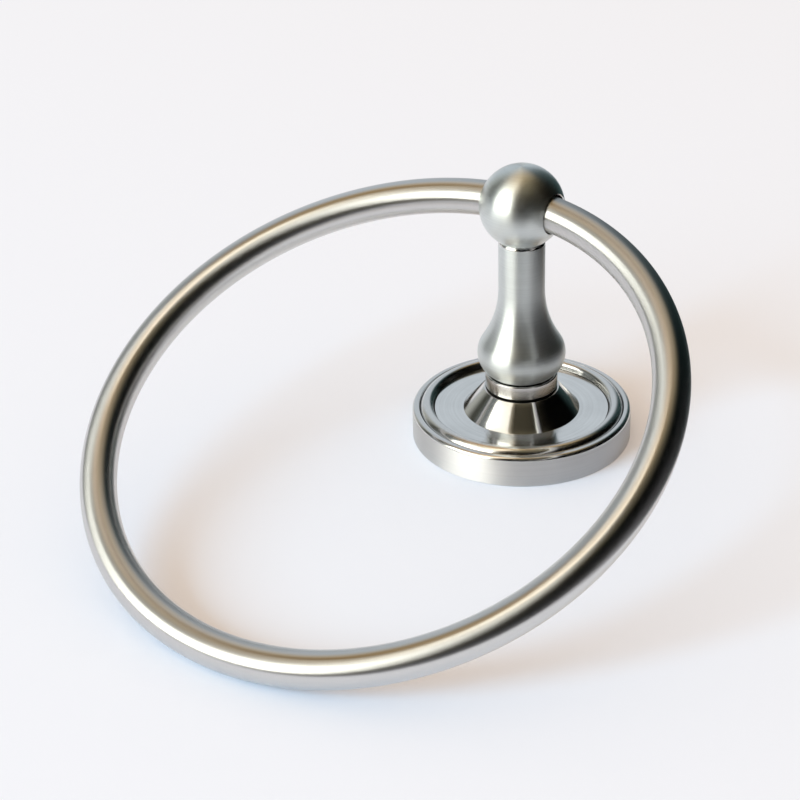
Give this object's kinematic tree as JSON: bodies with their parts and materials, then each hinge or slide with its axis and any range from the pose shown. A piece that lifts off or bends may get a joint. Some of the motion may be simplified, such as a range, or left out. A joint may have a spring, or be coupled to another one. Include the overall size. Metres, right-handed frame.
{
  "type": "towel ring",
  "caption": "Wall-mounted towel ring: an open round hoop hinged in the ball end of a turned post, on a stepped round base with a bead and a cone, in satin nickel.",
  "frame": {"origin": "centre of the base's back face, midway between the two wall-screw holes of the bracket", "axes": "+Z out of the wall along the post; X along the hinge axis of the ring; the ring lies swung over to the -Y side, and the set screw is on the +Y side"},
  "size_m": [0.15, 0.16, 0.0758],
  "materials": {
    "satin_nickel": "satin nickel plate, brushed around the turned axis, with mirror-polished bead and cone",
    "zinc_plated_steel": "bright zinc plate, slightly dull",
    "black_steel": "black oxide"
  },
  "bodies": {
    "base": {"base_flange": "satin_nickel", "post": "satin_nickel", "post_screw": "zinc_plated_steel", "lock_washer": "zinc_plated_steel", "wall_bracket": "zinc_plated_steel", "set_screw": "black_steel"},
    "ring": {"towel_ring": "satin_nickel"}
  },
  "joints": [
    {"name": "ring_swing", "type": "hinge", "parent": "base", "child": "ring", "pos_m": [0, 0, 0.06496], "axis": [-1, 0, 0], "range_deg": [0, 230.9]}
  ]
}
